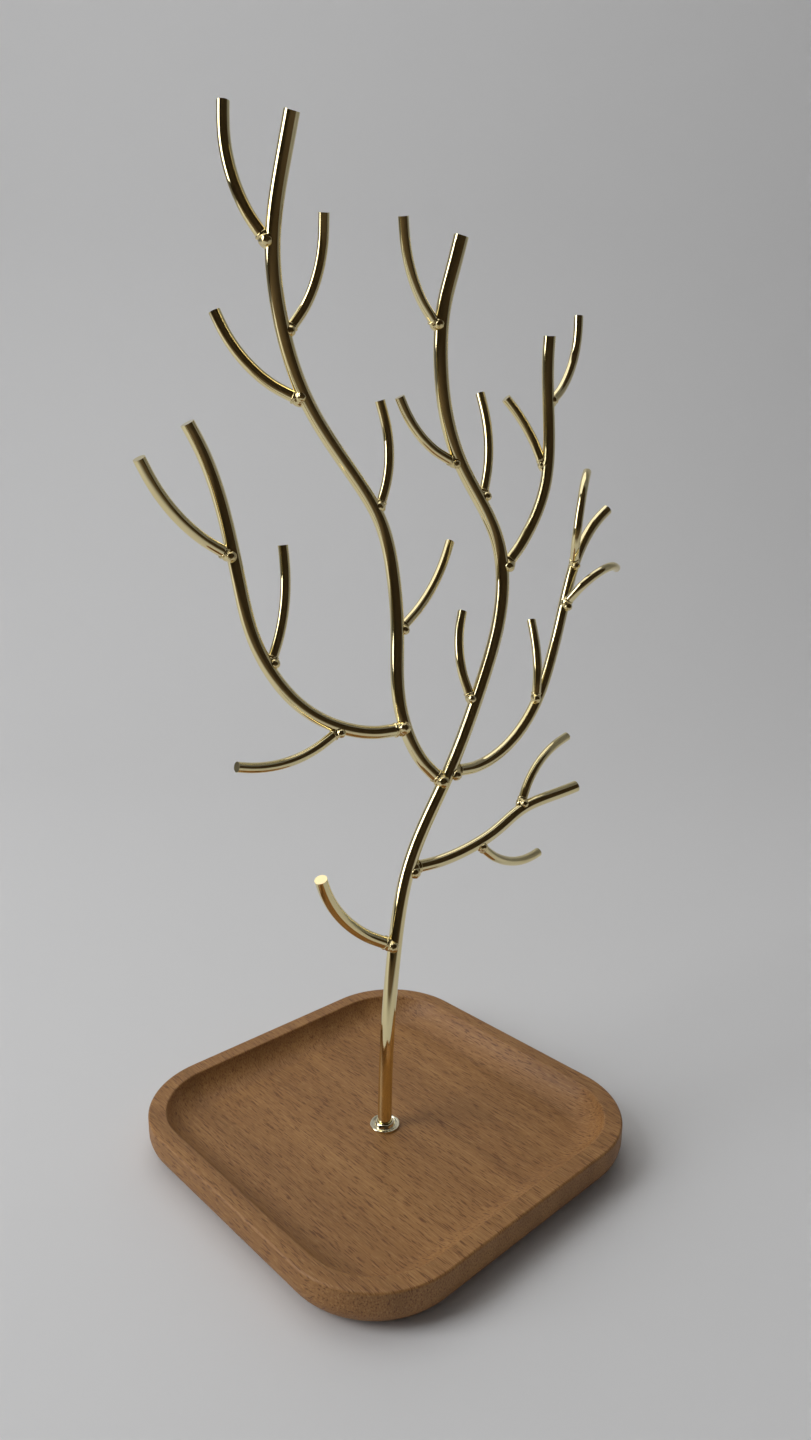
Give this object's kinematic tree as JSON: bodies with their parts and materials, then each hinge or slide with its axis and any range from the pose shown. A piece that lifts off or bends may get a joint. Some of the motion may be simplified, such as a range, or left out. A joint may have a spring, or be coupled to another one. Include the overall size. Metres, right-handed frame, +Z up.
{
  "type": "jewellery tree stand",
  "caption": "Jewellery tree: a leaning tree of bent, welded brass-plated rods for hanging jewellery, screwed to a hollowed square beech tray.",
  "frame": {"origin": "centre of the tray's underside", "axes": "+Z up along the trunk's foot; the tray's sides lie along X and Y, and the grain of the wood runs along X"},
  "size_m": [0.15, 0.2189, 0.3677],
  "materials": {
    "beech": "oiled beech, fine short flecks, satin",
    "plated_rod": "bright pale-gold plated steel rod",
    "plated_collar": "bright pale-gold plated stamped steel",
    "steel_screw": "zinc-plated steel"
  },
  "bodies": {
    "tray": {"tray": "beech"},
    "tree": {"collar": "plated_collar", "leader": "plated_rod", "left_stem": "plated_rod", "left_branch": "plated_rod", "right_branch": "plated_rod", "low_branch": "plated_rod", "high_branch": "plated_rod", "leader_twig_1": "plated_rod", "leader_twig_2": "plated_rod", "leader_twig_3": "plated_rod", "leader_twig_4": "plated_rod", "leader_twig_5": "plated_rod", "left_stem_twig_1": "plated_rod", "left_stem_twig_2": "plated_rod", "left_stem_twig_3": "plated_rod", "left_stem_twig_4": "plated_rod", "left_stem_twig_5": "plated_rod", "left_branch_twig_1": "plated_rod", "left_branch_twig_2": "plated_rod", "left_branch_twig_3": "plated_rod", "right_branch_twig_1": "plated_rod", "right_branch_twig_2": "plated_rod", "right_branch_twig_3": "plated_rod", "low_branch_twig_1": "plated_rod", "low_branch_twig_2": "plated_rod", "high_branch_twig_1": "plated_rod", "high_branch_twig_2": "plated_rod", "fixing_screw": "steel_screw"}
  },
  "joints": [
    {"name": "tree_swivel", "type": "hinge", "parent": "tray", "child": "tree", "pos_m": [0, 0, 0.0065], "axis": [0, 0, 1], "continuous": true}
  ]
}
